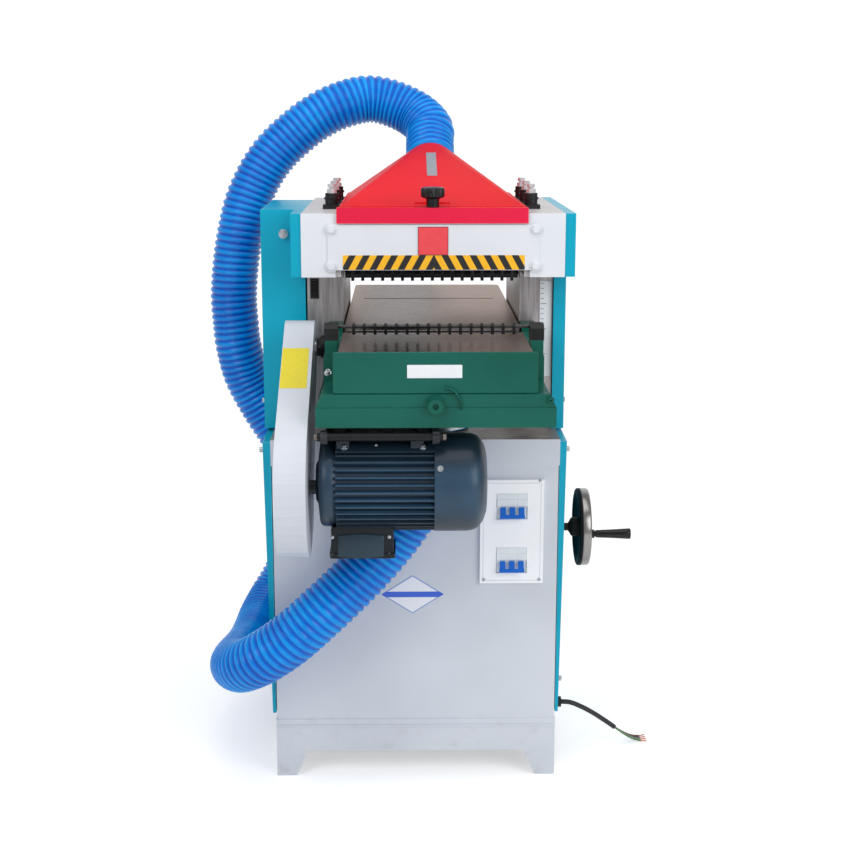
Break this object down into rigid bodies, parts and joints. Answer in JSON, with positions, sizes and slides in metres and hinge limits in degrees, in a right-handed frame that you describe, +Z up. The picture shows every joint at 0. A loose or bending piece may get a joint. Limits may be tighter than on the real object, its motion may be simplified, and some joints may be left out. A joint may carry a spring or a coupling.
{
  "type": "thickness planer",
  "caption": "Free-standing double-sided thickness planer with rising table, feed rollers, dust hood, hose, handwheel lift and front cutting unit.",
  "frame": {"origin": "centre of the four anchor holes at floor level", "axes": "+X to the handwheel side, +Y from the operator to the back, +Z up"},
  "size_m": [0.9516, 1.07, 1.3907],
  "materials": {
    "panel_grey": "gloss paint",
    "teal": "gloss paint",
    "cast_grey": "machined",
    "machined": "ground and polished",
    "red": "hammered paint",
    "green": "gloss paint",
    "motor_blue": "satin paint",
    "zinc": "zinc plated",
    "steel": "ground",
    "dark_steel": "blackened",
    "bronze": "machined",
    "rubber": "matt",
    "black_plastic": "satin",
    "white_plastic": "gloss",
    "blue_plastic": "gloss",
    "hose_blue": "gloss",
    "pointer_red": "gloss"
  },
  "bodies": {
    "stand": {"base_frame": "panel_grey", "cabinet_shell": "panel_grey", "upper_frame": "panel_grey", "lower_cover_left": "teal", "lower_cover_right": "teal", "column_left": "cast_grey", "column_right": "cast_grey", "drive_cover": "teal", "chain_cover": "teal", "head_casting": "cast_grey", "head_front_plate": "panel_grey", "centre_plate": "panel_grey", "hood": "red", "dust_port": "zinc", "adjuster_housings": "black_plastic", "adjuster_bolts": "dark_steel", "head_bearings": "steel", "roller_bearings": "cast_grey", "chip_breaker": "cast_grey", "pressure_bar": "cast_grey", "main_motor": "motor_blue", "main_belt": "rubber", "feed_chain": "dark_steel", "electric_panel": "panel_grey", "breaker_bodies": "white_plastic", "height_scale": "zinc", "handwheel_bearing": "dark_steel", "screw_bearing": "cast_grey", "cable_gland": "black_plastic", "dust_hose": "hose_blue", "mains_lead": "rubber"},
    "hood_knob": {"hood_knob": "black_plastic"},
    "toggle_upper": {"toggle_upper": "blue_plastic"},
    "toggle_lower": {"toggle_lower": "blue_plastic"},
    "lift_screw": {"lift_screw": "steel"},
    "handwheel": {"handwheel": "steel"},
    "handle_grip": {"handle_grip": "black_plastic"},
    "cutterhead": {"cutterhead": "steel", "cutter_knives": "steel", "cutter_pulley": "dark_steel"},
    "infeed_roller": {"infeed_roller": "dark_steel"},
    "outfeed_roller": {"outfeed_roller": "steel"},
    "motor_rotor": {"motor_rotor": "dark_steel"},
    "upper_fingers": {"upper_fingers": "dark_steel"},
    "table_unit": {"table": "machined", "rear_extension": "machined", "lift_nut": "bronze", "lower_head": "green", "belt_guard": "panel_grey", "lower_belt": "rubber", "front_motor": "motor_blue", "motor_mount": "motor_blue", "finger_rod": "dark_steel", "lower_port": "zinc", "height_pointer": "pointer_red"},
    "infeed_table": {"infeed_table": "machined"},
    "lower_cutterhead": {"lower_cutterhead": "steel"},
    "front_rotor": {"front_rotor": "dark_steel"},
    "front_fingers": {"front_fingers": "dark_steel"},
    "front_screw": {"front_screw": "dark_steel"}
  },
  "joints": [
    {"name": "table_lift", "type": "slide", "parent": "stand", "child": "table_unit", "axis": [0, 0, 1], "range_m": [-0.05, 0.08], "deforming": ["dust_hose"]},
    {"name": "lift_screw_turn", "type": "hinge", "parent": "stand", "child": "lift_screw", "pos_m": [0.033, -0.1, 0.3], "axis": [0, 0, 1], "range_deg": [-7200, 4500]},
    {"name": "handwheel_turn", "type": "hinge", "parent": "stand", "child": "handwheel", "pos_m": [0.3, -0.1, 0.472], "axis": [1, 0, 0], "range_deg": [-7200, 4500]},
    {"name": "handle_spin", "type": "hinge", "parent": "handwheel", "child": "handle_grip", "pos_m": [0.4, -0.154, 0.472], "axis": [1, 0, 0], "continuous": true},
    {"name": "cutterhead_spin", "type": "hinge", "parent": "stand", "child": "cutterhead", "pos_m": [0.033, -0.01, 1.03], "axis": [1, 0, 0], "continuous": true},
    {"name": "infeed_roller_turn", "type": "hinge", "parent": "stand", "child": "infeed_roller", "pos_m": [0.033, -0.13, 1.019], "axis": [1, 0, 0], "continuous": true},
    {"name": "outfeed_roller_turn", "type": "hinge", "parent": "stand", "child": "outfeed_roller", "pos_m": [0.033, 0.115, 1.019], "axis": [1, 0, 0], "continuous": true},
    {"name": "motor_rotor_turn", "type": "hinge", "parent": "stand", "child": "motor_rotor", "pos_m": [-0.25, 0.06, 0.3], "axis": [1, 0, 0], "continuous": true},
    {"name": "upper_fingers_swing", "type": "hinge", "parent": "stand", "child": "upper_fingers", "pos_m": [0.033, -0.238, 1.045], "axis": [1, 0, 0], "range_deg": [0, 55]},
    {"name": "hood_knob_turn", "type": "hinge", "parent": "stand", "child": "hood_knob", "pos_m": [0.033, -0.266, 1.16], "axis": [0, 0, 1], "range_deg": [0, 1080]},
    {"name": "toggle_upper_throw", "type": "hinge", "parent": "stand", "child": "toggle_upper", "pos_m": [0.188, -0.279, 0.563], "axis": [1, 0, 0], "range_deg": [-60, 0]},
    {"name": "toggle_lower_throw", "type": "hinge", "parent": "stand", "child": "toggle_lower", "pos_m": [0.188, -0.279, 0.454], "axis": [1, 0, 0], "range_deg": [-60, 0]},
    {"name": "lower_cutter_spin", "type": "hinge", "parent": "table_unit", "child": "lower_cutterhead", "pos_m": [0.033, -0.259, 0.876], "axis": [1, 0, 0], "continuous": true},
    {"name": "front_rotor_turn", "type": "hinge", "parent": "table_unit", "child": "front_rotor", "pos_m": [-0.2, -0.484, 0.657], "axis": [1, 0, 0], "continuous": true},
    {"name": "infeed_table_slide", "type": "slide", "parent": "table_unit", "child": "infeed_table", "axis": [0, 0, 1], "range_m": [-0.004, 0]},
    {"name": "front_screw_turn", "type": "hinge", "parent": "table_unit", "child": "front_screw", "pos_m": [0.033, -0.54, 0.818], "axis": [0, 1, 0], "range_deg": [-1440, 0]},
    {"name": "front_fingers_swing", "type": "hinge", "parent": "table_unit", "child": "front_fingers", "pos_m": [0.033, -0.378, 0.932], "axis": [1, 0, 0], "range_deg": [0, 60]}
  ],
  "couplings": [
    {"joint": "lift_screw_turn", "follows": "table_lift", "rad_per_m": -1570.8},
    {"joint": "handwheel_turn", "follows": "table_lift", "rad_per_m": -1570.8},
    {"joint": "infeed_roller_turn", "follows": "cutterhead_spin", "ratio": -0.01},
    {"joint": "outfeed_roller_turn", "follows": "cutterhead_spin", "ratio": -0.01},
    {"joint": "motor_rotor_turn", "follows": "cutterhead_spin", "ratio": 0.75},
    {"joint": "front_rotor_turn", "follows": "lower_cutter_spin", "ratio": 0.4},
    {"joint": "front_screw_turn", "follows": "infeed_table_slide", "rad_per_m": 6283.2}
  ]
}
